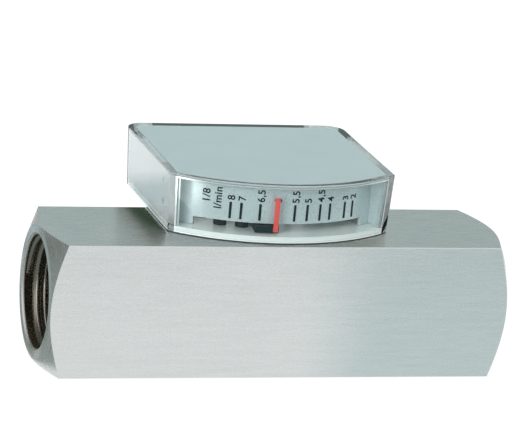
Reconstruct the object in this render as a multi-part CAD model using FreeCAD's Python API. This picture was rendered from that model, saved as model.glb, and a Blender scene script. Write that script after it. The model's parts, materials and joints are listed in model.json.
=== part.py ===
"""Inline variable-area flow meter: a square threaded body with a spring-loaded magnetic piston,
and a clear dial case on top whose pointer follows the piston through the wall.

Millimetres. The origin is the centre of the body's bottom face, +X runs along the bore towards the
inlet, +Y towards the back of the dial case, +Z up. Every solid is drawn at the stored pose, with the
pointer near the middle of its scale.
"""
import FreeCAD, Part
import math
import os
from FreeCAD import Vector

X_AXIS = Vector(1, 0, 0)
Y_AXIS = Vector(0, 1, 0)
Z_AXIS = Vector(0, 0, 1)

# ---- body ----
body_side = 40.0
body_length = 139.0
end_ring_radius = 19.8        # flat ring left on each end by the turned bevel
bevel_angle = 25.5            # between the bevel and the end face
thread_radius = 16.62         # G 1, major diameter 33.25
thread_length = 19.0
mouth_chamfer = 0.7
edge_break = 0.3              # round on the four long edges
bore_radius = 14.0

# ---- dial case, on the body's top face ----
dial_offset = 0.95            # case centre, from the body's middle towards the inlet
pivot_back = 33.5             # pivot pin, behind the bore axis; also the centre of the curved front
case_half_width = 33.5        # at the bottom of the case
case_back = 48.8              # back wall, behind the bore axis
case_height = 17.7
draft_angle = 2.8             # the case is wider at the top
rear_corner_radius = 5.6
front_corner_radius = 0.8
cover_wall = 2.4
cover_top = 1.0
cover_edge_round = 0.25
seal_thickness = 0.3
seal_inset = 0.1
cover_gap = 0.1               # between the clear cover and what lies against it
base_thickness = 1.5
base_edge_gap = 0.15

lug_height = 2.2
lug_width = 6.0
lug_depth = 5.6
lug_spreads = (-19.5, -10.5, 10.5, 19.5)    # along the case's back wall, from its centre

# ---- hood and scale ----
hood_gap = 0.05               # between the cover and the hood
hood_sheet = 0.5
scale_radius = 44.0           # printed face of the scale
front_depth = 7.2             # from there to the outside of the curved front, at its bottom
scale_thickness = 0.8
flange_rise = 0.1             # lower edge of the hood's flanges and the wings, above the base plate
scale_bottom = 4.4            # lower edge of the scale, above the body's top
scale_top_gap = 0.1
scale_half_angle = 40.5       # printed curve, each side of straight to the front
foot_angle = 35.0             # inner end of each wing's foot, under the printed curve
wing_root = 1.0               # angle by which a wing overlaps the printed curve
scale_tab_length = 9.0
rivet_radius = 0.8
rivet_head_radius = 1.4
rivet_head_height = 0.5
rivet_edge = 2.7              # rivets, from the scale's upper and lower edges
rivet_back = 7.0              # rivets, from the front end of the tab

pillar_radius = 2.4
pillar_gap = 1.2              # between a pillar and the hood's flanges
pillar_front = 8.0            # front pillars, in front of the pivot

# ---- screws ----
m2_radius = 1.0
m2_head_radius = 1.9
m2_head_height = 2.0
m2_socket_radius = 0.8
m2_socket_depth = 1.0
m2_length = 4.5
m25_radius = 1.25
m25_head_radius = 2.35
m25_head_height = 1.3
screw_clearance = 0.1
hole_depth_margin = 0.5       # hole past the screw's end
slot_width = 0.7
slot_depth = 0.6
base_screw_length = 5.0
base_screw_spread = 22.0
base_screw_rows = (4.0, 14.0)
front_screw_setback = 4.8     # two front screws, behind the scale's face
front_screw_angles = (-16.4, -25.6)
pillar_screw_length = 6.0
cover_screw_length = 3.1
cover_hole_margin = 0.2

# ---- pointer ----
rest_angle = -7.2             # the arm's centre line at the stored pose, 0 is straight to the front
swing_to_high_flow = 20.0     # from the stored pose
swing_to_low_flow = 35.0
magnet_arm = 33.5             # pivot to pointer magnet
pin_radius = 1.0
pin_height = 10.4             # above the base plate
running_clearance = 0.03
bush_radius = 2.0
bush_flange_radius = 3.0
bush_flange_height = 0.5
hub_radius = 4.0
hub_height = 4.9
washer_radius = 3.0
washer_thickness = 0.5
axial_play = 0.1
clip_thickness = 0.4
clip_outer_radius = 2.2
clip_groove_depth = 0.3
arm_width = 5.0
arm_thickness = 2.0
arm_rise = 3.2                # underside of the arm, above the base plate
toe_width = 6.9
toe_thickness = 1.9
toe_rise = 0.4                # underside of the toe, above the base plate
toe_gap = 0.4                 # between the toe's drop and the back of the scale
drop_thickness = 1.5
toe_reach = 1.9               # toe in front of the scale's face
tip_width = 1.4
tip_thickness = 0.6
tip_rise = 0.4                # lower end of the tip, above the toe's underside
tip_height = 10.2
tip_inset = 0.3               # from the toe's inlet side
magnet_radius = 2.5
magnet_height = 2.4
magnet_pocket_wall = 1.0
magnet_floor = 0.5            # boss under the magnet, above the base plate
weight_radius = 2.8
weight_height = 3.6
weight_arm = 7.0
spigot_radius = 1.6
tail_radius = 3.6

stop_arm = 17.0               # stop pins, from the pivot
stop_pin_radius = 1.0
stop_pin_height = 6.0
stop_gap = 0.1

# ---- piston ----
piston_clearance = 0.08
orifice_radius = 6.0
hub_outer_radius = 9.5
hub_inner_radius = 8.0
disc_thickness = 3.0
ring_magnet_length = 11.0
ring_magnet_radius = 13.0
ring_magnet_fit = 0.05
clamp_thickness = 3.0
pilot_length = 3.0            # hub behind the clamp ring, inside the spring
piston_stop_gap = 0.15

# ---- spring and cone ----
wire_radius = 0.6
spring_radius = 11.6
spring_turns = 7
spring_sides = 12             # straight lengths in a turn
seat_gap = 0.05
spider_back = 46.3            # outlet face of the spider, from the body's middle
spider_thickness = 3.0
spider_rim = 3.4
spider_hub_radius = 4.5
spoke_width = 3.0
spoke_count = 3
cone_fit = 0.05
cone_stem_radius = 3.0
cone_full_radius = 5.8
cone_tail_radius = 2.0
cone_nose = 2.5
nut_flats = 8.0
nut_thickness = 3.2
nut_rounding = 0.14
tail_proud = 0.8

snap_ring_thickness = 1.2
snap_ring_inner_radius = 12.5
groove_depth = 0.9
groove_clearance = 0.08
snap_ring_gap_angle = 50.0

# ---- worked out ----
front_radius = scale_radius + front_depth
beyond = 2 * body_length         # reach of a cutting block that is larger than the whole part
body_top = body_side
axis_height = body_side / 2
half_length = body_length / 2
bevel_start_radius = body_side / 2 * math.sqrt(2)
case_floor = body_top + seal_thickness
base_top = case_floor + base_thickness
cover_bottom = case_floor + cover_gap
cover_rim_top = case_floor + case_height
cavity_top = cover_rim_top - cover_top
hood_top = cavity_top - hood_gap
hood_under = hood_top - hood_sheet
flange_low = base_top + flange_rise
scale_low = body_top + scale_bottom
scale_high = hood_under - scale_top_gap
hood_inset = cover_wall + hood_gap
flange_inset = hood_inset + hood_sheet
washer_top = base_top + washer_thickness
hub_bottom = washer_top + axial_play
hub_top = hub_bottom + hub_height
bush_top = hub_top + bush_flange_height
clip_bottom = bush_top + axial_play
arm_bottom = base_top + arm_rise
arm_top = arm_bottom + arm_thickness
toe_bottom = base_top + toe_rise
toe_front = scale_radius + toe_reach
drop_back = scale_radius - scale_thickness - toe_gap - drop_thickness
piston_radius = bore_radius - piston_clearance
magnet_centre = dial_offset + magnet_arm * math.radians(rest_angle)
travel_to_inlet = magnet_arm * math.radians(swing_to_low_flow)
travel_to_outlet = magnet_arm * math.radians(swing_to_high_flow)
magnet_front = magnet_centre + ring_magnet_length / 2
magnet_back = magnet_centre - ring_magnet_length / 2
piston_front = magnet_front + disc_thickness
clamp_back = magnet_back - clamp_thickness
pilot_back = clamp_back - pilot_length
stop_ring_face = piston_front + travel_to_inlet + piston_stop_gap
spider_front = -spider_back + spider_thickness
cone_full_start = stop_ring_face
cone_taper_start = pilot_back - travel_to_outlet + disc_thickness


def export(shape, name):
    shape.exportStep("parts/" + name + ".step")


def cylinder_x(radius, x_low, x_high):
    """Cylinder on the bore axis."""
    return Part.makeCylinder(radius, x_high - x_low, Vector(x_low, 0, axis_height), X_AXIS)


def ring_x(outer, inner, x_low, x_high):
    return cylinder_x(outer, x_low, x_high).cut(cylinder_x(inner, x_low - 1, x_high + 1))


def cylinder_z(radius, place, z_low, z_high):
    """Upright cylinder at place = (x, y)."""
    return Part.makeCylinder(radius, z_high - z_low, Vector(place[0], place[1], z_low), Z_AXIS)


def box(x_low, x_high, y_low, y_high, z_low, z_high):
    return Part.makeBox(x_high - x_low, y_high - y_low, z_high - z_low, Vector(x_low, y_low, z_low))


def compound_of(solids):
    return Part.makeCompound(solids)


def pivot_place():
    return (dial_offset, pivot_back)


def polar(radius, angle):
    """Place at a radius from the pivot; 0 degrees is straight to the front, positive towards +X."""
    turn = math.radians(angle)
    return (dial_offset + radius * math.sin(turn), pivot_back - radius * math.cos(turn))


def swung(shape, angle):
    """A shape drawn with its arm straight to the front, turned about the pivot."""
    turned = shape.copy()
    turned.rotate(Vector(dial_offset, pivot_back, 0), Z_AXIS, angle)
    return turned


# ---- body ----

def body_blank():
    """Square bar whose ends are bevelled by turning."""
    bar = box(-half_length, half_length, -body_side / 2, body_side / 2, 0, body_side)
    long_edges = [edge for edge in bar.Edges if edge.BoundBox.XLength > half_length]
    bar = bar.makeFillet(edge_break, long_edges)
    reach = bevel_start_radius + 1
    grow = reach / math.tan(math.radians(90 - bevel_angle))
    ring_inset = end_ring_radius * math.tan(math.radians(bevel_angle))
    middle = half_length - grow + ring_inset
    inlet_cone = Part.makeCone(reach, 0, grow, Vector(middle, 0, axis_height), X_AXIS)
    outlet_cone = Part.makeCone(0, reach, grow, Vector(-middle - grow, 0, axis_height), X_AXIS)
    turned = cylinder_x(reach, -middle, middle).fuse([inlet_cone, outlet_cone])
    return bar.common(turned)


def body_bores():
    """Through bore, thread bores, mouth chamfers and snap-ring grooves."""
    cuts = [cylinder_x(bore_radius, -half_length - 1, half_length + 1)]
    for side in (-1, 1):
        end = side * half_length
        inner = side * (half_length - thread_length)
        cuts.append(cylinder_x(thread_radius, min(end, inner), max(end, inner)))
        mouth = Part.makeCone(thread_radius + mouth_chamfer, thread_radius, mouth_chamfer,
                              Vector(end, 0, axis_height), Vector(-side, 0, 0))
        cuts.append(mouth)
    for x_low in snap_ring_places():
        cuts.append(cylinder_x(bore_radius + groove_depth + groove_clearance,
                               x_low - groove_clearance, x_low + snap_ring_thickness + groove_clearance))
    return cuts


def tapped_holes():
    """Holes in the body's top for the base screws and the two front screws."""
    holes = []
    base_hole_end = base_top - base_screw_length - hole_depth_margin
    for place in base_screw_places():
        holes.append(cylinder_z(m25_radius + screw_clearance / 2, place, base_hole_end, body_top + 1))
    front_hole_end = base_top - m2_length - hole_depth_margin
    for place in front_screw_places():
        holes.append(cylinder_z(m2_radius + screw_clearance / 2, place, front_hole_end, body_top + 1))
    return holes


def make_body():
    return body_blank().cut(body_bores() + tapped_holes())


# ---- inside the bore ----

def snap_ring_places():
    """Low x of the outlet ring and of the inlet ring."""
    return (-spider_back - snap_ring_thickness, stop_ring_face)


def make_snap_ring(x_low):
    """Open ring that sits in a groove of the bore."""
    x_high = x_low + snap_ring_thickness
    ring = ring_x(bore_radius + groove_depth, snap_ring_inner_radius, x_low, x_high)
    half = bore_radius * math.tan(math.radians(snap_ring_gap_angle / 2))
    opening = Part.makeBox(snap_ring_thickness + 2, 2 * half, 2 * bore_radius,
                           Vector(x_low - 1, -half, axis_height - 2 * bore_radius))
    return ring.cut(opening)


def make_piston():
    """Spool: orifice disc at the front, hub that carries the magnet, clamp ring and spring pilot."""
    disc = cylinder_x(piston_radius, magnet_front, piston_front)
    hub = cylinder_x(hub_outer_radius, pilot_back, magnet_front)
    spool = disc.fuse(hub)
    spool = spool.cut(cylinder_x(hub_inner_radius, pilot_back - 1, magnet_front))
    funnel = Part.makeCone(hub_inner_radius, orifice_radius, disc_thickness / 2,
                           Vector(magnet_front, 0, axis_height), X_AXIS)
    return spool.cut([cylinder_x(orifice_radius, pilot_back, piston_front + 1), funnel])


def make_ring_magnet():
    return ring_x(ring_magnet_radius, hub_outer_radius + ring_magnet_fit, magnet_back, magnet_front)


def make_clamp_ring():
    return ring_x(piston_radius, hub_outer_radius + ring_magnet_fit, clamp_back, magnet_back)


def make_return_spring():
    """Coil between the clamp ring and the spider, of short straight lengths with mitred joints."""
    x_low = spider_front + wire_radius + seat_gap
    x_high = clamp_back - wire_radius - seat_gap
    count = spring_turns * spring_sides
    points = []
    for number in range(count + 1):
        turn = 2 * math.pi * number / spring_sides
        points.append(Vector(x_low + (x_high - x_low) * number / count,
                             spring_radius * math.cos(turn),
                             axis_height + spring_radius * math.sin(turn)))
    wire = Part.Wire(Part.makeCircle(wire_radius, points[0], points[1] - points[0]))
    mitred = 1
    return Part.makePolygon(points).makePipeShell([wire], True, False, mitred)


def make_cone_spider():
    """Rim, hub and spokes."""
    rim_outer = bore_radius - cone_fit
    rim = ring_x(rim_outer, rim_outer - spider_rim, -spider_back, spider_front)
    hub = cylinder_x(spider_hub_radius, -spider_back, spider_front)
    spokes = []
    for number in range(spoke_count):
        spoke = box(-spider_back, spider_front, -spoke_width / 2, spoke_width / 2,
                    axis_height, axis_height + rim_outer - spider_rim / 2)
        spoke.rotate(Vector(0, 0, axis_height), X_AXIS, number * 360.0 / spoke_count)
        spokes.append(spoke)
    spider = rim.fuse([hub] + spokes).removeSplitter()
    return spider.cut(cylinder_x(cone_tail_radius + cone_fit, -spider_back - 1, spider_front + 1))


def make_metering_cone():
    """Rod that thickens towards the inlet, so that the orifice opens as the piston moves away."""
    stem = cylinder_x(cone_stem_radius, spider_front, cone_taper_start)
    taper = Part.makeCone(cone_stem_radius, cone_full_radius, cone_full_start - cone_taper_start,
                          Vector(cone_taper_start, 0, axis_height), X_AXIS)
    nose = Part.makeCone(cone_full_radius, cone_full_radius - cone_nose, cone_nose,
                         Vector(cone_full_start, 0, axis_height), X_AXIS)
    tail_end = -spider_back - nut_thickness - tail_proud
    tail = cylinder_x(cone_tail_radius, tail_end, spider_front)
    return stem.fuse([taper, nose, tail]).removeSplitter()


def make_cone_nut():
    corner = nut_flats / math.sqrt(3)
    points = []
    for number in range(7):
        turn = math.radians(60 * number)
        points.append(Vector(-spider_back - nut_thickness, corner * math.cos(turn),
                             axis_height + corner * math.sin(turn)))
    nut = Part.Face(Part.makePolygon(points)).extrude(Vector(nut_thickness, 0, 0))
    rounding = cylinder_x(corner - nut_rounding, -spider_back - nut_thickness, -spider_back)
    nut = nut.common(rounding)
    hole = cylinder_x(cone_tail_radius + cone_fit, -spider_back - nut_thickness - 1, -spider_back + 1)
    return nut.cut(hole)


# ---- dial case ----

def drafted_sides(inset, z):
    """Left, right and back of the case's straight sides at a height, drawn in by inset."""
    grow = (z - body_top) * math.tan(math.radians(draft_angle)) - inset
    return dial_offset - case_half_width - grow, dial_offset + case_half_width + grow, case_back + grow


def drafted_box(inset, z_low, z_high, front):
    """Block with drafted sides and back and an upright front, drawn along Y and then stood up."""
    left_low, right_low, back_low = drafted_sides(inset, z_low)
    left_high, right_high, back_high = drafted_sides(inset, z_high)
    block = Part.makeWedge(left_low, z_low, -back_low, -back_high, left_high,
                           right_low, z_high, -front, -front, right_high)
    block.rotate(Vector(0, 0, 0), X_AXIS, 90)
    return block


def dial_block(inset, z_low, z_high, open_front=False):
    """The case's drafted outline, drawn in by inset, between two heights."""
    block = drafted_box(inset, z_low, z_high, pivot_back - 1.2 * front_radius)
    rear_edges = []
    for edge in block.Edges:
        points = [vertex.Point for vertex in edge.Vertexes]
        upright = abs(points[0].z - points[1].z) > 0.9 * (z_high - z_low)
        if upright and min(points[0].y, points[1].y) > pivot_back:
            rear_edges.append(edge)
    block = block.makeFillet(rear_corner_radius - inset, rear_edges).Solids[0]
    if open_front:
        return block
    slope = math.tan(math.radians(draft_angle))
    radius_low = front_radius + (z_low - body_top) * slope - inset
    radius_high = front_radius + (z_high - body_top) * slope - inset
    front_cone = Part.makeCone(radius_low, radius_high, z_high - z_low,
                               Vector(dial_offset, pivot_back, z_low), Z_AXIS)
    behind = box(-beyond, beyond, pivot_back, beyond, z_low, z_high)
    return block.common(front_cone.fuse(behind)).Solids[0]


def front_corner_edges(block):
    """The two upright edges where the curved front meets the sides."""
    found = []
    for edge in block.Edges:
        points = [vertex.Point for vertex in edge.Vertexes]
        if len(points) < 2:
            continue
        tall = abs(points[0].z - points[1].z) > case_height / 2
        if tall and max(points[0].y, points[1].y) < pivot_back:
            found.append(edge)
    return found


def top_edges(block, height):
    found = []
    for edge in block.Edges:
        if min(vertex.Point.z for vertex in edge.Vertexes) > height - 0.001:
            found.append(edge)
    return found


def lug_places():
    """Centres of the cover's lugs."""
    rear = case_back - cover_wall - lug_depth / 2
    return [(dial_offset + spread, rear) for spread in lug_spreads]


def cover_lugs():
    """Feet inside the cover's back wall, for the screws from below."""
    lugs = []
    z_low = base_top + cover_gap
    for x, y in lug_places():
        lugs.append(box(x - lug_width / 2, x + lug_width / 2, y - lug_depth / 2,
                        y + lug_depth / 2 + cover_wall / 2, z_low, z_low + lug_height))
    return lugs


def make_clear_cover():
    outside = dial_block(0, cover_bottom, cover_rim_top)
    outside = outside.makeFillet(front_corner_radius, front_corner_edges(outside)).Solids[0]
    outside = outside.makeFillet(cover_edge_round, top_edges(outside, cover_rim_top)).Solids[0]
    cavity = dial_block(cover_wall, cover_bottom - 1, cavity_top)
    shell = outside.cut(cavity).fuse(cover_lugs())
    holes = []
    for place in lug_places():
        depth = case_floor + cover_screw_length + cover_hole_margin
        holes.append(cylinder_z(m25_radius + screw_clearance / 2, place, base_top, depth))
    return shell.cut(holes)


def make_base_plate():
    plate = dial_block(cover_wall + base_edge_gap, case_floor, base_top)
    cuts = []
    for place in base_screw_places():
        cuts.append(countersink_from_above(place))
    for place in front_screw_places():
        cuts.append(cylinder_z(m2_radius + screw_clearance, place, body_top, base_top + 1))
    for place in pillar_places():
        cuts.append(countersink_from_below(place))
    for place in lug_places():
        cuts.append(countersink_from_below(place))
    cuts.append(cylinder_z(pin_radius, pivot_place(), body_top, base_top + 1))
    for place in stop_pin_places():
        cuts.append(cylinder_z(stop_pin_radius, place, body_top, base_top + 1))
    return plate.cut(cuts)


def make_case_seal():
    """Thin sheet between the case and the body's top face."""
    sheet = dial_block(seal_inset, body_top, case_floor)
    sheet = sheet.common(box(-beyond, beyond, -beyond, body_side / 2, body_top, case_floor))
    holes = []
    for place in base_screw_places() + front_screw_places():
        holes.append(cylinder_z(m25_radius + 2 * screw_clearance, place, body_top - 1, case_floor + 1))
    return sheet.cut(holes)


# ---- hood and scale ----

def make_hood():
    """Sheet with a top and two side flanges that run round the rear corners, open to the front and back."""
    outside = dial_block(hood_inset, flange_low, hood_top)
    inside = dial_block(flange_inset, flange_low - 1, hood_under, open_front=True)
    half_opening = case_half_width - flange_inset - rear_corner_radius
    opening = box(dial_offset - half_opening, dial_offset + half_opening, pivot_back, beyond,
                  flange_low - 1, hood_under)
    return outside.cut([inside, opening] + rivet_holes())


def tab_front():
    """Front end of the wings and tabs, where the hood's flanges meet its front edge."""
    reach = case_half_width - flange_inset
    return pivot_back - math.sqrt((front_radius - flange_inset) ** 2 - reach ** 2)


def upright_plate(points, z_low, z_high):
    corners = [Vector(x, y, z_low) for x, y in points]
    return Part.Face(Part.makePolygon(corners + corners[:1])).extrude(Vector(0, 0, z_high - z_low))


def front_sector(half_angle, z_low, z_high):
    """Wedge from the pivot to the front."""
    return upright_plate([pivot_place(), polar(2 * scale_radius, -half_angle),
                          polar(2 * scale_radius, half_angle)], z_low, z_high)


def scale_wing(side):
    """Flat wing from the end of the printed curve out past the flange, before it is trimmed there."""
    start = Vector(*polar(scale_radius, side * scale_half_angle), 0)
    end = Vector(dial_offset + side * (case_half_width - flange_inset), tab_front(), 0)
    run = (end - start).normalize()
    step = run * scale_thickness
    across = Vector(-step.y, step.x, 0) * side
    far = end + 2 * step
    bend = start + across - step
    inner = scale_radius - scale_thickness
    middle = scale_radius - scale_thickness / 2
    return upright_plate([(start.x, start.y), (far.x, far.y), (far.x + across.x, far.y + across.y),
                          (bend.x, bend.y), polar(inner, side * scale_half_angle),
                          polar(middle, side * (scale_half_angle - wing_root))], flange_low, scale_high)


def make_scale_plate():
    """Printed curve with a foot at each end, a wing that closes the gap to the flange, and a tab along it."""
    within = dial_block(flange_inset, flange_low, scale_high)
    curved = cylinder_z(scale_radius, pivot_place(), flange_low, scale_high)
    curved = curved.common(front_sector(scale_half_angle, flange_low, scale_high))
    behind = cylinder_z(scale_radius - scale_thickness, pivot_place(), flange_low - 1, scale_high + 1)
    pointer_opening = front_sector(foot_angle, flange_low - 1, scale_low)
    ends = [scale_wing(side).common(within) for side in (-1, 1)]
    band = box(-beyond, beyond, -beyond, tab_front() + scale_tab_length, flange_low, scale_high)
    core = dial_block(flange_inset + scale_thickness, flange_low - 1, scale_high + 1, open_front=True)
    tabs = within.cut(core).common(band)
    plate = curved.cut(behind).cut(pointer_opening).fuse(ends + tabs.Solids).removeSplitter()
    return plate.cut(rivet_holes())


def rivet_lines():
    """Start point and outward side of each rivet, through the tab and the flange."""
    middle = (scale_low + scale_high) / 2
    rise = (scale_high - scale_low) / 2 - rivet_edge
    lines = []
    for side in (-1, 1):
        for z in (middle - rise, middle + rise):
            flange = case_half_width + (z - body_top) * math.tan(math.radians(draft_angle)) - hood_inset
            lines.append((side, Vector(dial_offset + side * flange, tab_front() + rivet_back, z)))
    return lines


def rivet_direction(side):
    return Vector(side * math.cos(math.radians(draft_angle)), 0, -math.sin(math.radians(draft_angle)))


def rivet_holes():
    holes = []
    for side, point in rivet_lines():
        outward = rivet_direction(side)
        holes.append(Part.makeCylinder(rivet_radius, 3 * hood_sheet + scale_thickness,
                                       point - outward * (2 * hood_sheet + scale_thickness), outward))
    return holes


def make_scale_rivets():
    """Rivets with their heads inside, flush with the outside of the flanges."""
    rivets = []
    for side, point in rivet_lines():
        outward = rivet_direction(side)
        grip = hood_sheet + scale_thickness
        shank = Part.makeCylinder(rivet_radius, grip, point - outward * grip, outward)
        head = Part.makeCylinder(rivet_head_radius, rivet_head_height,
                                 point - outward * (grip + rivet_head_height), outward)
        rivets.append(shank.fuse(head).removeSplitter())
    return compound_of(rivets)


def pillar_places():
    reach = flange_inset + pillar_gap + pillar_radius
    places = []
    for row in (pivot_back - pillar_front, case_back - reach):
        for side in (-1, 1):
            places.append((dial_offset + side * (case_half_width - reach), row))
    return places


def make_hood_pillars():
    pillars = []
    for place in pillar_places():
        pillar = cylinder_z(pillar_radius, place, base_top, hood_under)
        depth = case_floor + pillar_screw_length + hole_depth_margin
        pillars.append(pillar.cut(cylinder_z(m25_radius + screw_clearance / 2, place, base_top - 1, depth)))
    return compound_of(pillars)


# ---- screws ----

def base_screw_places():
    places = []
    for row in base_screw_rows:
        for side in (-1, 1):
            places.append((dial_offset + side * base_screw_spread, row))
    return places


def front_screw_places():
    return [polar(scale_radius - front_screw_setback, angle) for angle in front_screw_angles]


def countersink_from_above(place):
    hole = cylinder_z(m25_radius + screw_clearance, place, body_top, base_top + 1)
    sink = Part.makeCone(m25_radius + screw_clearance, m25_head_radius + screw_clearance, m25_head_height,
                         Vector(place[0], place[1], base_top - m25_head_height), Z_AXIS)
    return hole.fuse(sink)


def countersink_from_below(place):
    hole = cylinder_z(m25_radius + screw_clearance, place, body_top, base_top + 1)
    sink = Part.makeCone(m25_head_radius + screw_clearance, m25_radius + screw_clearance, m25_head_height,
                         Vector(place[0], place[1], case_floor), Z_AXIS)
    return hole.fuse(sink)


def countersunk_screw(length):
    """Slotted countersunk screw, head up at z = 0, shank down."""
    shank = Part.makeCylinder(m25_radius, length, Vector(0, 0, -length), Z_AXIS)
    head = Part.makeCone(m25_radius, m25_head_radius, m25_head_height, Vector(0, 0, -m25_head_height), Z_AXIS)
    slot = box(-m25_head_radius, m25_head_radius, -slot_width / 2, slot_width / 2, -slot_depth, 1)
    return shank.fuse(head).removeSplitter().cut(slot)


def placed_from_above(screw, place):
    moved = screw.copy()
    moved.translate(Vector(place[0], place[1], base_top))
    return moved


def placed_from_below(screw, place):
    moved = screw.copy()
    moved.rotate(Vector(0, 0, 0), X_AXIS, 180)
    moved.translate(Vector(place[0], place[1], case_floor))
    return moved


def make_base_screws():
    screw = countersunk_screw(base_screw_length)
    return compound_of([placed_from_above(screw, place) for place in base_screw_places()])


def make_pillar_screws():
    screw = countersunk_screw(pillar_screw_length)
    return compound_of([placed_from_below(screw, place) for place in pillar_places()])


def make_cover_screws():
    screw = countersunk_screw(cover_screw_length)
    return compound_of([placed_from_below(screw, place) for place in lug_places()])


def make_front_screws():
    """Socket cap screws standing on the base plate."""
    screws = []
    for place in front_screw_places():
        head_top = base_top + m2_head_height
        head = cylinder_z(m2_head_radius, place, base_top, head_top)
        socket = cylinder_z(m2_socket_radius, place, head_top - m2_socket_depth, head_top + 1)
        shank = cylinder_z(m2_radius, place, base_top - m2_length, base_top)
        screws.append(head.fuse(shank).removeSplitter().cut(socket))
    return compound_of(screws)


# ---- pivot and pointer ----

def make_pivot_pin():
    """Pin pressed into the base plate, with a groove for the clip."""
    top = base_top + pin_height
    pin = cylinder_z(pin_radius, pivot_place(), case_floor, top)
    groove = cylinder_z(pin_radius + 1, pivot_place(), clip_bottom, clip_bottom + clip_thickness)
    groove = groove.cut(cylinder_z(pin_radius - clip_groove_depth, pivot_place(), clip_bottom - 1, top))
    return pin.cut(groove)


def make_thrust_washer():
    washer = cylinder_z(washer_radius, pivot_place(), base_top, washer_top)
    return washer.cut(cylinder_z(pin_radius + running_clearance, pivot_place(), base_top - 1, washer_top + 1))


def make_pivot_bush():
    sleeve = cylinder_z(bush_radius, pivot_place(), hub_bottom, bush_top)
    flange = cylinder_z(bush_flange_radius, pivot_place(), hub_top, bush_top)
    bore = cylinder_z(pin_radius + running_clearance, pivot_place(), hub_bottom - 1, bush_top + 1)
    return sleeve.fuse(flange).removeSplitter().cut(bore)


def make_pivot_clip():
    """Clip with an opening, in the groove of the pin."""
    x, y = pivot_place()
    z_high = clip_bottom + clip_thickness
    clip = cylinder_z(clip_outer_radius, (x, y), clip_bottom, z_high)
    inner = pin_radius - clip_groove_depth
    clip = clip.cut(cylinder_z(inner, (x, y), clip_bottom - 1, z_high + 1))
    return clip.cut(box(x - inner, x + inner, y, y + clip_outer_radius + 1, clip_bottom - 1, z_high + 1))


def make_pointer_lever():
    """Arm above the scale's lower edge that drops behind the scale and passes under it."""
    x, y = pivot_place()
    hub = cylinder_z(hub_radius, (x, y), hub_bottom, hub_top)
    arm = box(x - arm_width / 2, x + arm_width / 2, y - drop_back - drop_thickness, y, arm_bottom, arm_top)
    drop = box(x - arm_width / 2, x + arm_width / 2, y - drop_back - drop_thickness, y - drop_back,
               toe_bottom, arm_top)
    toe = box(x - toe_width / 2, x + toe_width / 2, y - toe_front, y - drop_back,
              toe_bottom, toe_bottom + toe_thickness)
    magnet_y = y - magnet_arm
    boss = cylinder_z(magnet_radius + magnet_pocket_wall, (x, magnet_y), base_top + magnet_floor, arm_top)
    tail = cylinder_z(tail_radius, (x, y + weight_arm), arm_bottom, arm_top)
    tail_arm = box(x - arm_width / 2, x + arm_width / 2, y, y + weight_arm, arm_bottom, arm_top)
    lever = hub.fuse([arm, drop, toe, boss, tail, tail_arm]).removeSplitter()
    pocket = cylinder_z(magnet_radius, (x, magnet_y), base_top, base_top + magnet_floor + magnet_height)
    bore = cylinder_z(bush_radius, (x, y), hub_bottom - 1, hub_top + 1)
    weight_hole = cylinder_z(spigot_radius, (x, y + weight_arm), arm_bottom - 1, arm_top + 1)
    return swung(lever.cut([pocket, bore, weight_hole]), rest_angle)


def make_pointer_magnet():
    x, y = pivot_place()
    magnet = cylinder_z(magnet_radius, (x, y - magnet_arm), base_top + magnet_floor,
                        base_top + magnet_floor + magnet_height)
    return swung(magnet, rest_angle)


def make_balance_weight():
    """Weight under the tail, with a spigot riveted through it."""
    x, y = pivot_place()
    place = (x, y + weight_arm)
    weight = cylinder_z(weight_radius, place, arm_top, arm_top + weight_height)
    spigot = cylinder_z(spigot_radius, place, arm_bottom, arm_top)
    return swung(weight.fuse(spigot).removeSplitter(), rest_angle)


def make_pointer_tip():
    """Upright strip on the front of the toe, at its inlet side."""
    x, y = pivot_place()
    right = x + toe_width / 2 - tip_inset
    strip = box(right - tip_width, right, y - toe_front - tip_thickness, y - toe_front,
                toe_bottom + tip_rise, toe_bottom + tip_rise + tip_height)
    return swung(strip, rest_angle)


def stop_pin_places():
    """Pins that the arm meets just past each end of its swing."""
    reach = arm_width / 2 + stop_pin_radius + stop_gap
    clear_angle = math.degrees(math.asin(reach / stop_arm))
    low = rest_angle - swing_to_high_flow - clear_angle
    high = rest_angle + swing_to_low_flow + clear_angle
    return [polar(stop_arm, low), polar(stop_arm, high)]


def make_stop_pins():
    return compound_of([cylinder_z(stop_pin_radius, place, case_floor, base_top + stop_pin_height)
                        for place in stop_pin_places()])


def main():
    os.makedirs("parts", exist_ok=True)
    outlet_ring, inlet_ring = snap_ring_places()
    export(make_body(), "body")
    export(make_snap_ring(outlet_ring), "outlet_snap_ring")
    export(make_snap_ring(inlet_ring), "inlet_snap_ring")
    export(make_piston(), "piston")
    export(make_ring_magnet(), "ring_magnet")
    export(make_clamp_ring(), "clamp_ring")
    export(make_return_spring(), "return_spring")
    export(make_cone_spider(), "cone_spider")
    export(make_metering_cone(), "metering_cone")
    export(make_cone_nut(), "cone_nut")
    export(make_case_seal(), "case_seal")
    export(make_base_plate(), "base_plate")
    export(make_base_screws(), "base_screws")
    export(make_front_screws(), "front_screws")
    export(make_clear_cover(), "clear_cover")
    export(make_cover_screws(), "cover_screws")
    export(make_hood(), "hood")
    export(make_hood_pillars(), "hood_pillars")
    export(make_pillar_screws(), "pillar_screws")
    export(make_scale_plate(), "scale_plate")
    export(make_scale_rivets(), "scale_rivets")
    export(make_pivot_pin(), "pivot_pin")
    export(make_pivot_bush(), "pivot_bush")
    export(make_thrust_washer(), "thrust_washer")
    export(make_pivot_clip(), "pivot_clip")
    export(make_pointer_lever(), "pointer_lever")
    export(make_pointer_magnet(), "pointer_magnet")
    export(make_balance_weight(), "balance_weight")
    export(make_pointer_tip(), "pointer_tip")
    export(make_stop_pins(), "stop_pins")


main()
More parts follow.
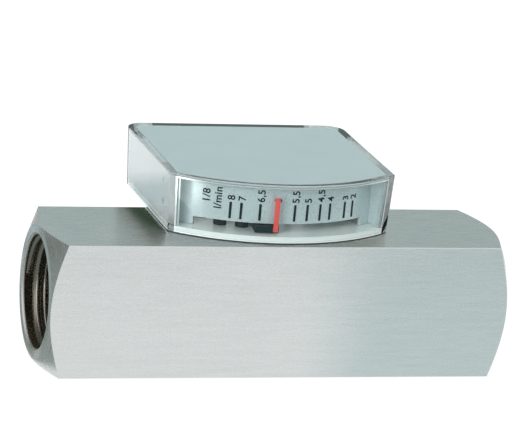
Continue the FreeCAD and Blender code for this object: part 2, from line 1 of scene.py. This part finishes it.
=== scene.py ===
"""Looks of an inline flow meter: a square brushed-steel body with threaded ends, and a clear dial
case with a silver scale and a red pointer. Metres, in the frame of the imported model."""
import bpy
import json
import math
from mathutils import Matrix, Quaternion, Vector


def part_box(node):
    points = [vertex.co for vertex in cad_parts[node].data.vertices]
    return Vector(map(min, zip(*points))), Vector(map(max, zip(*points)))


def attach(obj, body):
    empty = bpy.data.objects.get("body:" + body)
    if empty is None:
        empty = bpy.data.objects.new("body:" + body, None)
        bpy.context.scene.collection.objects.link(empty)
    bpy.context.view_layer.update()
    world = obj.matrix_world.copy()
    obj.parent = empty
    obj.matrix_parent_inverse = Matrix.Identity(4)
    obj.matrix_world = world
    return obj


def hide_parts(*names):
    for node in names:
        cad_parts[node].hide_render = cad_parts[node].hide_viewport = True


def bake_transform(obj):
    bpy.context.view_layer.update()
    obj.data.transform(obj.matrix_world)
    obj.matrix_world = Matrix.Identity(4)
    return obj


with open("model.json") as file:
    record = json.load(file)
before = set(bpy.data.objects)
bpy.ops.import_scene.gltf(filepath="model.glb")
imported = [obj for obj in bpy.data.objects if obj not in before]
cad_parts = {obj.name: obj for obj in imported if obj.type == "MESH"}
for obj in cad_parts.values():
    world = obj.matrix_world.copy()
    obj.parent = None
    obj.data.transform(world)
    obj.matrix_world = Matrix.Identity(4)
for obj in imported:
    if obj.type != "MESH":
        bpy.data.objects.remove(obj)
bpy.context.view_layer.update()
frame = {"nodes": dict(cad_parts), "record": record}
nodes = frame["nodes"]
record = frame["record"]

MM = 0.001
BODY = "meter_body"
body_low, body_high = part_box("body")
axis_height = (body_low.z + body_high.z) / 2
half_length = body_high.x
pivot = Vector(next(j for j in record["behaviour"]["joints"] if j["name"] == "pointer_swing")["pos_m"])
scale_radius = pivot.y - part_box("scale_plate")[0].y
# lower edge of the printed curve, which is higher than the feet at its ends
scale_foot = min(v.co.z for v in nodes["scale_plate"].data.vertices
                 if abs(v.co.x - pivot.x) < scale_radius / 4)
thread_radius = next(m for m in record["mounts"] if m["name"] == "inlet_thread")["dims"]["r_mm"] * MM

# ---- thread ----
thread_pitch = 2.309 * MM
thread_depth = 1.47 * MM
thread_turns = 7
thread_start = 0.9 * MM          # from the end face
thread_runout = 0.25             # turns over which the ridge rises from the wall
steps_per_turn = 96

# ---- print on the scale ----
print_lift = 0.02 * MM           # back of the ink, in front of the plate
print_thickness = 0.03 * MM
tick_low = 0.78 * MM             # from the plate's lower edge
tick_height = 5.0 * MM
tick_width = 0.76 * MM
number_gap = 0.6 * MM            # between a tick and its number
number_height = 2.2 * MM
word_height = 2.3 * MM           # of the capitals in a word
letter_spacing = 1.06            # of the plain font's own spacing
font_cap_share = 0.73            # height of the font's capitals over its size
font_weight = 0.02               # how far the outlines are thickened, over the font's size
# number, and its angle on the scale: 0 is straight to the front, + towards the inlet
scale_marks = (("8", -21.15), ("7", -17.1), ("6,5", -9.95), ("6", -3.5), ("5,5", 3.45), ("5", 8.5),
               ("4,5", 13.95), ("4", 18.3), ("3", 25.4), ("2", 29.45))
# words, angle and height above the plate's lower edge
scale_words = (("1/8", -30.7, 5.3 * MM), ("l/min", -26.2, 3.4 * MM))

# ---- fit, light and view ----
hood_contact = 0.1 * MM          # how far the hood's skin reaches, across its gap into the cover
floor_gap = 0.2 * MM             # floor below the body
floor_low = -0.15 * MM           # cards on the floor
card_gap = 0.4 * MM              # cards in front of the cover's walls
ring_centre = -10 * MM           # y of the centre of the cards round the dial's front
world_light = 0.62               # strength of the world as light; 1 where it is seen
floor_glow = 1.14                # strength of the floor's own white where it is seen,
floor_glow_share = 0.72          # and its share there
camera_place = (-0.31938, -0.99999, 0.33949)
camera_look = (0.29105, 0.91719, -0.27212)
camera_roll = 5.39               # degrees
camera_lens = 252.6              # mm
camera_sensor = 36               # mm


# ---- materials ----

class Shader:
    """A node material built up in a few lines."""

    def __init__(self, name):
        self.material = bpy.data.materials.new(name)
        self.material.use_nodes = True
        self.nodes = self.material.node_tree.nodes
        self.links = self.material.node_tree.links
        self.surface = self.nodes["Principled BSDF"]
        self.output = self.nodes["Material Output"]
        self.place = self.nodes.new("ShaderNodeTexCoord").outputs["Object"]

    def set(self, **values):
        """Constants on the shader's own sockets."""
        for name, value in values.items():
            self.surface.inputs[name.replace("_", " ")].default_value = value

    def link(self, output, socket):
        self.links.new(output, self.surface.inputs[socket])

    def put(self, value, socket):
        """Links a node's output, or sets a plain value."""
        if isinstance(value, bpy.types.NodeSocket):
            self.links.new(value, socket)
        else:
            socket.default_value = value

    def math(self, operation, first, second=0.0):
        node = self.nodes.new("ShaderNodeMath")
        node.operation = operation
        for value, socket in zip((first, second), node.inputs):
            self.put(value, socket)
        return node.outputs[0]

    def scaled(self, x, y, z):
        """The place on the object, with each axis scaled."""
        node = self.nodes.new("ShaderNodeMapping")
        self.links.new(self.place, node.inputs["Vector"])
        node.inputs["Scale"].default_value = (x, y, z)
        return node.outputs[0]

    def noise(self, place, scale=1.0, detail=3.0, roughness=0.55):
        node = self.nodes.new("ShaderNodeTexNoise")
        self.links.new(place, node.inputs["Vector"])
        node.inputs["Scale"].default_value = scale
        node.inputs["Detail"].default_value = detail
        node.inputs["Roughness"].default_value = roughness
        return node.outputs["Fac"]

    def mapped(self, value, low, high, new_low, new_high, smooth=False):
        """The value taken from low..high to new_low..new_high, and kept within them."""
        node = self.nodes.new("ShaderNodeMapRange")
        if smooth:
            node.interpolation_type = "SMOOTHSTEP"
        for item, socket in zip((value, low, high, new_low, new_high), node.inputs):
            self.put(item, socket)
        return node.outputs[0]

    def mix(self, factor, first, second, blend="MIX"):
        """Two colours mixed."""
        node = self.nodes.new("ShaderNodeMix")
        node.data_type = "RGBA"
        node.blend_type = blend
        self.put(factor, node.inputs["Factor"])
        self.put(first, node.inputs["A"])
        self.put(second, node.inputs["B"])
        return node.outputs["Result"]

    def mix_value(self, factor, first, second):
        """Two numbers mixed."""
        node = self.nodes.new("ShaderNodeMix")
        self.put(factor, node.inputs["Factor"])
        self.put(first, node.inputs["A"])
        self.put(second, node.inputs["B"])
        return node.outputs["Result"]

    def axes(self, vector):
        node = self.nodes.new("ShaderNodeSeparateXYZ")
        self.links.new(vector, node.inputs[0])
        return node.outputs

    def vector(self, x, y, z):
        node = self.nodes.new("ShaderNodeCombineXYZ")
        for value, socket in zip((x, y, z), node.inputs):
            self.put(value, socket)
        return node.outputs[0]

    def bump(self, height, strength, distance):
        node = self.nodes.new("ShaderNodeBump")
        node.inputs["Strength"].default_value = strength
        node.inputs["Distance"].default_value = distance
        self.links.new(height, node.inputs["Height"])
        self.link(node.outputs[0], "Normal")

    def tinted(self, colour, value, low, high):
        """The colour made darker and lighter by a noise value."""
        amount = self.mapped(value, 0.25, 0.75, low, high)
        shade = self.vector(amount, amount, amount)
        return self.mix(1.0, colour, shade, "MULTIPLY")

    def around_bore(self):
        """Place along the bore axis, distance from it, and angle round it."""
        x, y, z = self.axes(self.place)
        up = self.math("SUBTRACT", z, axis_height)
        squares = self.math("ADD", self.math("MULTIPLY", y, y), self.math("MULTIPLY", up, up))
        radius = self.math("SQRT", squares)
        return x, radius, self.math("ARCTAN2", up, y)

    def blend_out(self, factor, first, second):
        """Mixes two shaders into the material's output."""
        mixed = self.nodes.new("ShaderNodeMixShader")
        self.links.new(factor, mixed.inputs["Fac"])
        self.links.new(first.outputs[0], mixed.inputs[1])
        self.links.new(second.outputs[0], mixed.inputs[2])
        self.links.new(mixed.outputs[0], self.output.inputs["Surface"])

    def tangent(self, axis):
        """Direction of the grain of an anisotropic surface."""
        node = self.nodes.new("ShaderNodeTangent")
        node.direction_type = "RADIAL"
        node.axis = axis
        self.link(node.outputs[0], "Tangent")


def brushed_steel():
    """Body: straight grain along the bar, turned grain on the bevels, and the bore wall painted dark brown
    as painted shade.
    """
    s = Shader("brushed_steel_body")
    s.set(Metallic=1.0, Anisotropic=1.0)
    s.tangent("X")
    x, radius, angle = s.around_bore()
    normal = s.nodes.new("ShaderNodeTexCoord").outputs["Normal"]
    end_mask = s.mapped(s.math("ABSOLUTE", s.axes(normal)[0]), 0.3, 0.6, 0.0, 1.0, smooth=True)
    bore_shade_mask = s.mapped(radius, thread_radius + 0.3 * MM, thread_radius + 0.1 * MM, 0.0, 1.0)
    long_grain = s.noise(s.scaled(110, 3200, 3200), detail=5, roughness=0.65)
    broad_grain = s.noise(s.scaled(45, 700, 700), detail=3)
    turned = s.vector(s.math("MULTIPLY", radius, 3600), s.math("MULTIPLY", x, 900),
                      s.math("MULTIPLY", angle, 1.6))
    turned_grain = s.noise(turned, detail=4, roughness=0.6)
    grain = s.mix_value(end_mask, long_grain, turned_grain)
    patches = s.noise(s.scaled(30, 60, 60), detail=2)
    colour = s.tinted((0.66, 0.69, 0.687, 1), grain, 0.93, 1.05)
    colour = s.tinted(colour, broad_grain, 0.965, 1.03)
    colour = s.tinted(colour, patches, 0.985, 1.015)
    # painted shade: the bore's wall is painted dark brown
    colour = s.mix(bore_shade_mask, colour, (0.30, 0.27, 0.22, 1))
    s.link(colour, "Base Color")
    s.link(s.mapped(grain, 0.2, 0.8, 0.22, 0.32), "Roughness")
    s.bump(grain, 0.25, 0.03 * MM)
    return s.material


def turned_metal(name, colour, rough):
    """Small turned or stamped metal pieces."""
    s = Shader(name)
    s.set(Metallic=1.0)
    fine = s.noise(s.place, scale=2200, detail=3)
    broad = s.noise(s.place, scale=260, detail=2)
    s.link(s.tinted(s.tinted(colour, fine, 0.94, 1.05), broad, 0.95, 1.04), "Base Color")
    s.link(s.mapped(fine, 0.2, 0.8, rough - 0.06, rough + 0.08), "Roughness")
    s.bump(fine, 0.2, 0.02 * MM)
    return s.material


def satin_sheet(name, colour, rough, metallic):
    """Silver-grey anodised sheet with a very fine grain."""
    s = Shader(name)
    s.set(Metallic=metallic)
    fine = s.noise(s.scaled(7000, 7000, 2500), detail=3, roughness=0.6)
    broad = s.noise(s.place, scale=90, detail=3)
    s.link(s.tinted(s.tinted(colour, fine, 0.975, 1.025), broad, 0.985, 1.015), "Base Color")
    s.link(s.mapped(fine, 0.2, 0.8, rough - 0.02, rough + 0.02), "Roughness")
    s.bump(fine, 0.02, 0.0008 * MM)
    return s.material


def folded_sheet(name):
    """Hood: satin paint on its top, bare metal on its flanges. The flanges' lighter colour is partly their
    bare metal and partly painted light on the sides.
    """
    s = Shader(name)
    normal = s.nodes.new("ShaderNodeTexCoord").outputs["Normal"]
    top = s.mapped(s.math("ABSOLUTE", s.axes(normal)[2]), 0.4, 0.6, 0.0, 1.0)
    fine = s.noise(s.scaled(2600, 2600, 900), detail=3, roughness=0.6)
    broad = s.noise(s.place, scale=90, detail=3)
    # lighter flanges: partly bare metal, partly painted light on the sides
    colour = s.mix(top, (0.73, 0.76, 0.77, 1), (0.51, 0.60, 0.62, 1))
    s.link(s.tinted(s.tinted(colour, fine, 0.97, 1.03), broad, 0.98, 1.02), "Base Color")
    s.link(s.mapped(top, 0.0, 1.0, 0.6, 0.15), "Metallic")
    rough = s.mapped(top, 0.0, 1.0, 0.16, 0.4)
    s.link(s.math("ADD", rough, s.math("MULTIPLY", fine, 0.06)), "Roughness")
    s.bump(fine, 0.1, 0.01 * MM)
    return s.material


def rolled_metal():
    """Rolled floor of the dial case, with its grain along the body."""
    s = Shader("rolled_base_metal")
    s.set(Metallic=0.2, Anisotropic=0.6)
    s.tangent("X")
    grain = s.noise(s.scaled(160, 2600, 2600), detail=4)
    s.link(s.tinted((0.97, 1.0, 0.98, 1), grain, 0.95, 1.0), "Base Color")
    s.link(s.mapped(grain, 0.2, 0.8, 0.17, 0.23), "Roughness")
    s.bump(grain, 0.1, 0.006 * MM)
    return s.material


def clear_plastic():
    """Clear moulded cover. Shadow and diffuse rays pass straight through it."""
    s = Shader("clear_moulding")
    s.set(IOR=1.49, Transmission_Weight=1.0, Coat_Weight=0.0)
    ripple = s.noise(s.place, scale=45, detail=2)
    specks = s.noise(s.place, scale=1500, detail=2)
    s.link(s.tinted((0.93, 0.965, 0.96, 1), ripple, 0.99, 1.01), "Base Color")
    s.link(s.mapped(specks, 0.35, 0.8, 0.0, 0.02), "Roughness")
    s.bump(ripple, 0.03, 0.2 * MM)
    path = s.nodes.new("ShaderNodeLightPath")
    through = s.math("MAXIMUM", path.outputs["Is Shadow Ray"], path.outputs["Is Diffuse Ray"])
    clear = s.nodes.new("ShaderNodeBsdfTransparent")
    clear.inputs["Color"].default_value = (0.9, 0.94, 0.935, 1)
    s.blend_out(through, s.surface, clear)
    return s.material


def moulded(name, colour, rough, specular=0.5):
    """Moulded plastic or paint with a faint orange-peel surface."""
    s = Shader(name)
    s.set(Specular_IOR_Level=specular)
    peel = s.noise(s.place, scale=1400, detail=2)
    broad = s.noise(s.place, scale=220, detail=2)
    s.link(s.tinted(s.tinted(colour, peel, 0.93, 1.07), broad, 0.95, 1.05), "Base Color")
    s.link(s.mapped(peel, 0.2, 0.8, rough - 0.05, rough + 0.07), "Roughness")
    s.bump(peel, 0.2, 0.02 * MM)
    return s.material


steel = brushed_steel()
hardware = turned_metal("hardware_steel", (0.58, 0.6, 0.6, 1), 0.3)
brass = turned_metal("turned_brass", (0.72, 0.55, 0.27, 1), 0.28)
sintered = turned_metal("sintered_magnet", (0.13, 0.13, 0.14, 1), 0.45)
ink = moulded("scale_ink", (0.008, 0.014, 0.016, 1), 0.5, 0.15)
node_materials = {
    "body": steel,
    "outlet_snap_ring": hardware, "inlet_snap_ring": hardware, "return_spring": hardware,
    "cone_spider": hardware, "metering_cone": hardware, "cone_nut": hardware,
    "base_screws": hardware, "cover_screws": hardware, "pillar_screws": hardware,
    "pivot_pin": hardware, "pivot_clip": hardware, "stop_pins": hardware,
    "piston": brass, "clamp_ring": brass, "pivot_bush": brass, "thrust_washer": brass,
    "balance_weight": brass,
    "ring_magnet": sintered, "pointer_magnet": sintered,
    "case_seal": moulded("seal_rubber", (0.03, 0.035, 0.035, 1), 0.6, 0.3),
    "base_plate": rolled_metal(), "hood_pillars": rolled_metal(),
    "hood": folded_sheet("satin_hood"),
    "scale_plate": satin_sheet("satin_scale", (0.62, 0.70, 0.715, 1), 0.28, 0.45),
    "scale_rivets": satin_sheet("satin_rivets", (0.47, 0.565, 0.58, 1), 0.36, 0.3),
    "clear_cover": clear_plastic(),
    "front_screws": moulded("black_oxide", (0.012, 0.024, 0.025, 1), 0.35, 0.15),
    "pointer_lever": moulded("black_moulding", (0.008, 0.022, 0.024, 1), 0.38, 0.12),
    "pointer_tip": moulded("red_moulding", (0.70, 0.085, 0.075, 1), 0.3),
}
for name, material in node_materials.items():
    nodes[name].data.materials.clear()
    nodes[name].data.materials.append(material)

# The hood lies tight against the clear cover: its skin reaches just into the plastic.
contact = nodes["hood"].modifiers.new("contact", "DISPLACE")
contact.strength = hood_contact
contact.mid_level = 0.0


# ---- pieces ----

def placed(name, data):
    """A new object in the scene."""
    made = bpy.data.objects.new(name, data)
    bpy.context.scene.collection.objects.link(made)
    return made


def body_piece(name, mesh, material):
    """A piece that rides on the body."""
    mesh.materials.clear()
    mesh.materials.append(material)
    piece = placed(name, mesh)
    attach(piece, BODY)


def mesh_from(name, points, faces):
    mesh = bpy.data.meshes.new(name)
    mesh.from_pydata(points, [], faces)
    mesh.validate()
    mesh.update()
    return mesh


def thread_ridge(name, side):
    """Inside G thread of one end: a ridge with a rounded crest on a helix, from the wall inwards."""
    profile = ((-0.49, 0.04), (-0.30, -0.35), (-0.13, -0.80), (-0.05, -0.97), (0.05, -0.97),
               (0.13, -0.80), (0.30, -0.35), (0.49, 0.04))
    count = thread_turns * steps_per_turn
    points = []
    for step in range(count + 1):
        turns = step / steps_per_turn
        rise = min(1.0, turns / thread_runout, (thread_turns - turns) / thread_runout)
        angle = 2 * math.pi * turns
        centre = thread_start + thread_pitch * (turns + 0.5)
        for along, inward in profile:
            radius = thread_radius + thread_depth * (inward * rise if inward < 0 else inward)
            points.append((side * (half_length - centre - along * thread_pitch),
                           radius * math.cos(angle), axis_height + radius * math.sin(angle)))
    size = len(profile)
    faces = []
    for step in range(count):
        for corner in range(size):
            after = (corner + 1) % size
            faces.append((step * size + corner, step * size + after,
                          (step + 1) * size + after, (step + 1) * size + corner))
    faces.append(tuple(range(size)))
    faces.append(tuple(count * size + corner for corner in reversed(range(size))))
    mesh = mesh_from(name, points, faces)
    mesh.polygons.foreach_set("use_smooth", [True] * len(mesh.polygons))
    body_piece(name, mesh, thread_shade_material)


def on_scale(across, height, lift):
    """Point on the scale's face: across is the distance along the curve, from straight to the
    front, and lift is how far the point stands in front of the face."""
    angle = across / scale_radius
    radius = scale_radius + lift
    return (pivot.x + radius * math.sin(angle), pivot.y - radius * math.cos(angle), height)


def scale_ticks():
    """One thin raised bar of ink per mark, with its corners cut."""
    points, faces = [], []
    cut = 0.12 * tick_width
    low = scale_foot + tick_low
    high = low + tick_height
    for number, angle in scale_marks:
        middle = math.radians(angle) * scale_radius
        half = tick_width / 2
        outline = ((-half + cut, low), (half - cut, low), (half, low + cut), (half, high - cut),
                   (half - cut, high), (-half + cut, high), (-half, high - cut), (-half, low + cut))
        start = len(points)
        for lift in (print_lift, print_lift + print_thickness):
            points += [on_scale(middle + across, height, lift) for across, height in outline]
        size = len(outline)
        faces.append(tuple(start + corner for corner in reversed(range(size))))
        faces.append(tuple(start + size + corner for corner in range(size)))
        for corner in range(size):
            after = (corner + 1) % size
            faces.append((start + corner, start + after, start + size + after, start + size + corner))
    body_piece("scale_ticks", mesh_from("scale_ticks", points, faces), ink)


def lettering(name, text, angle, height, cap_height):
    """A word or number that reads from bottom to top, from height up. Its capitals' height lies
    along the curve."""
    curve = bpy.data.curves.new(name, "FONT")
    curve.body = text
    curve.size = 1.0
    curve.extrude = 0.01         # only to tell front from back: print_thickness sets the depth
    curve.resolution_u = 6
    curve.offset = font_weight
    curve.space_character = letter_spacing
    source = placed(name + "_source", curve)
    bpy.context.view_layer.update()
    shaped = source.evaluated_get(bpy.context.evaluated_depsgraph_get())
    mesh = bpy.data.meshes.new_from_object(shaped)
    bpy.data.objects.remove(source)
    size = cap_height / font_cap_share
    middle = math.radians(angle) * scale_radius
    flat_low = min(vertex.co.x for vertex in mesh.vertices)
    for vertex in mesh.vertices:
        along, up, depth = vertex.co
        lift = print_lift + (print_thickness if depth > 0 else 0)
        vertex.co = on_scale(middle - (up * size - cap_height / 2),
                             height + (along - flat_low) * size, lift)
    mesh.update()
    body_piece(name, mesh, ink)


def spring_coil():
    """The return spring between the spider and the piston: a rigid copy of its part, which is hidden."""
    piece = placed("spring_coil", nodes["return_spring"].data.copy())
    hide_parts("return_spring")
    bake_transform(piece)


# The thread's dark brown colour is painted shade, as in the bore.
thread_shade_material = turned_metal("cut_thread_painted_shade", (0.34, 0.33, 0.29, 1), 0.26)
thread_ridge("thread_ridge_inlet", 1)
thread_ridge("thread_ridge_outlet", -1)
spring_coil()
scale_ticks()
number_foot = scale_foot + tick_low + tick_height + number_gap
for index, (number, angle) in enumerate(scale_marks):
    lettering(f"scale_number_{index}", number, angle, number_foot, number_height)
for index, (word, angle, rise) in enumerate(scale_words):
    lettering(f"scale_word_{index}", word, angle, scale_foot + rise, word_height)


# ---- floor, light and camera ----

def studio_world():
    """White for the camera and in reflections, and a plain soft level as light."""
    world = bpy.data.worlds.new("studio")
    bpy.context.scene.world = world
    world.use_nodes = True
    tree = world.node_tree
    background = tree.nodes["Background"]
    path = tree.nodes.new("ShaderNodeLightPath")
    seen = path.outputs["Is Camera Ray"]
    for kind in ("Is Glossy Ray", "Is Transmission Ray"):
        either = tree.nodes.new("ShaderNodeMath")
        either.operation = "MAXIMUM"
        tree.links.new(seen, either.inputs[0])
        tree.links.new(path.outputs[kind], either.inputs[1])
        seen = either.outputs[0]
    level = tree.nodes.new("ShaderNodeMapRange")
    tree.links.new(seen, level.inputs["Value"])
    level.inputs["To Min"].default_value = world_light
    level.inputs["To Max"].default_value = 1.0
    tree.links.new(level.outputs[0], background.inputs["Strength"])
    background.inputs["Color"].default_value = (1, 1, 1, 1)


def pale_floor():
    """Floor that shows white to the camera and keeps a soft shadow."""
    s = Shader("pale_floor")
    s.set(Roughness=0.9, Specular_IOR_Level=0.1)
    dust = s.noise(s.place, scale=40, detail=2)
    s.link(s.tinted((0.82, 0.83, 0.83, 1), dust, 0.995, 1.005), "Base Color")
    glow = s.nodes.new("ShaderNodeEmission")
    path = s.nodes.new("ShaderNodeLightPath")
    seen = s.math("MAXIMUM", path.outputs["Is Camera Ray"],
                  s.math("MAXIMUM", path.outputs["Is Glossy Ray"], path.outputs["Is Transmission Ray"]))
    glow.inputs["Strength"].default_value = floor_glow
    s.blend_out(s.math("MULTIPLY", seen, floor_glow_share), s.surface, glow)
    bpy.ops.mesh.primitive_plane_add(size=6, location=(0, 0, body_low.z - floor_gap))
    floor = bpy.context.object
    floor.name = "floor"
    floor.data.materials.append(s.material)


def card(name, outline, colour, strength=1.0, fade=None, mirrors=0, faces=None, side=0):
    """Studio card that only shows in reflections. fade = (direction, where clear, where full).
    Plain, it shows in what mirrors it directly. With mirrors, it only shows through the clear
    cover, after that many reflections. With side 1 or -1, only its front or its back shows."""
    s = Shader(name + "_card")
    glow = s.nodes.new("ShaderNodeEmission")
    glow.inputs["Color"].default_value = colour
    glow.inputs["Strength"].default_value = strength
    path = s.nodes.new("ShaderNodeLightPath")
    if mirrors:
        amount = s.math("MULTIPLY", s.math("GREATER_THAN", path.outputs["Transmission Depth"], 0.5),
                        s.math("GREATER_THAN", path.outputs["Glossy Depth"], mirrors - 0.5))
    else:
        amount = s.math("LESS_THAN", path.outputs["Transmission Depth"], 0.5)
    if side:
        back = s.nodes.new("ShaderNodeNewGeometry").outputs["Backfacing"]
        amount = s.math("MULTIPLY", amount, s.math("SUBTRACT", 1.0, back) if side > 0 else back)
    if fade:
        direction, clear_at, full_at = fade
        dot = s.nodes.new("ShaderNodeVectorMath")
        dot.operation = "DOT_PRODUCT"
        s.links.new(s.place, dot.inputs[0])
        dot.inputs[1].default_value = direction
        faded = s.mapped(dot.outputs["Value"], clear_at, full_at, 0.0, 1.0, smooth=True)
        amount = s.math("MULTIPLY", amount, faded)
    s.blend_out(amount, s.nodes.new("ShaderNodeBsdfTransparent"), glow)
    mesh = bpy.data.meshes.new(name)
    mesh.from_pydata(outline, [], faces or [tuple(range(len(outline)))])
    mesh.materials.append(s.material)
    made = placed(name, mesh)
    made.visible_camera = False
    made.visible_diffuse = False
    made.visible_transmission = mirrors > 0
    made.visible_shadow = False


def floor_ring(near, far, first, last):
    """Outline of part of a ring on the floor, round the dial's front, between two angles."""
    turns = list(range(first, last + 1, 6))
    points = [(near, turn) for turn in turns] + [(far, turn) for turn in reversed(turns)]
    return [(reach * math.sin(math.radians(turn)), ring_centre - reach * math.cos(math.radians(turn)),
             floor_low / 2) for reach, turn in points]


def flat(left, right, front, back, height):
    """Outline of a level rectangle."""
    return ((left, front, height), (right, front, height), (right, back, height), (left, back, height))


def upright(start, end, low, high):
    """Outline of an upright rectangle over the line from start to end."""
    return ((*start, low), (*end, low), (*end, high), (*start, high))


def soft_light(name, place, size, power):
    """Square lamp that points at the middle of the body, and isn't mirrored."""
    data = bpy.data.lights.new(name, "AREA")
    data.shape = "SQUARE"
    data.size = size
    data.energy = power
    made = placed(name, data)
    made.location = place
    made.rotation_mode = "QUATERNION"
    made.rotation_quaternion = (Vector((0, 0, axis_height)) - Vector(place)).to_track_quat("-Z", "Y")
    made.visible_glossy = False
    made.visible_transmission = False


def make_camera():
    data = bpy.data.cameras.new("camera")
    data.sensor_width = camera_sensor
    data.lens = camera_lens
    made = placed("camera", data)
    made.location = camera_place
    made.rotation_mode = "QUATERNION"
    roll = Quaternion((0, 0, 1), math.radians(camera_roll))
    made.rotation_quaternion = Vector(camera_look).to_track_quat("-Z", "Y") @ roll
    bpy.context.scene.camera = made


studio_world()
pale_floor()
# what the steel and the cover mirror: the studio behind, and the table around the object
card("card_behind", upright((-0.10, 1.1), (2.2, 0.9), 0.02, 1.6), (0.37, 0.48, 0.465, 1))
card("card_behind_left", upright((-1.6, 0.75), (-0.10, 1.1), 0.01, 1.6), (0.10, 0.12, 0.10, 1))
card("card_floor_right", flat(-0.1, 0.9, -0.0202, -1.2, floor_low), (0.66, 0.79, 0.79, 1),
     fade=((0.933, 0.359, 0), -0.005, 0.022))
card("card_floor_left", flat(-0.5, -0.0705, -0.15, 0.09, floor_low), (0.30, 0.34, 0.32, 1))
for name, height, mirrors in (("card_shade", floor_low, 0), ("card_shade_inside", floor_low + 0.2 * MM, 1)):
    card(name, flat(-0.6, 0.3, 0.1, 0.2, height), (0.30, 0.40, 0.42, 1),
         fade=((0, -1, 0), -0.19, -0.165), mirrors=mirrors)
card("card_ring", floor_ring(0.165, 0.30, -51, 81), (0.22, 0.27, 0.27, 1))
card("card_ring_inside", floor_ring(0.09, 0.32, -51, 81), (0.24, 0.29, 0.30, 1), mirrors=1)
card("card_glare", upright((-0.24, -0.06), (-0.11, -0.18), 0, 0.14), (1, 1, 1, 1), strength=2.2)
card("card_glare_inside", upright((-0.139, -0.032), (-0.116, -0.076), 0, 0.05), (1, 1, 1, 1),
     strength=4.0, mirrors=1)
# The case leans outwards. The steel mirrors its walls darkly, so a one-sided card lies in front of each.
case_low, case_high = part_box("clear_cover")
foot = [v.co for v in nodes["clear_cover"].data.vertices if v.co.z < case_low.z + 0.1 * MM]
foot_left = min(point.x for point in foot)
foot_half = (max(point.x for point in foot) - foot_left) / 2
foot_radius = pivot.y - min(point.y for point in foot)
rim_radius = pivot.y - case_low.y
corner_y = pivot.y - math.sqrt(foot_radius ** 2 - foot_half ** 2)
wall_top, wall_foot = case_low.x - card_gap, foot_left - card_gap
card("card_wall", ((wall_top, corner_y, case_high.z), (wall_top, case_high.y, case_high.z),
                   (wall_foot, case_high.y, case_low.z), (wall_foot, corner_y, case_low.z)),
     (0.05, 0.08, 0.05, 1), side=1)
for name, turns, colour, side in (("card_window_left", range(-40, -5, 4), (0.37, 0.44, 0.44, 1), 1),
                                  ("card_window_right", range(-8, 41, 4), (0.22, 0.27, 0.23, 1), 1),
                                  ("card_window_back", range(-38, 43, 4), (0.12, 0.14, 0.14, 1), -1)):
    strip = []
    for turn in turns:
        across, ahead = math.sin(math.radians(turn)), math.cos(math.radians(turn))
        for radius, height in ((foot_radius + card_gap, case_low.z), (rim_radius + card_gap, case_high.z)):
            strip.append((pivot.x + radius * across, pivot.y - radius * ahead, height))
    panes = [(n, n + 2, n + 3, n + 1) for n in range(0, len(strip) - 2, 2)]
    card(name, strip, colour, faces=panes, side=side)
soft_light("key_light", (-0.85, -0.85, 0.36), 0.6, 13)
soft_light("fill_light", (0.9, -0.7, 0.35), 0.7, 0.4)
soft_light("side_light", (1.1, -0.05, 0.4), 0.6, 5)
soft_light("back_light", (0.1, 0.8, 0.3), 0.5, 4)
make_camera()
bpy.context.scene.view_settings.view_transform = "Standard"
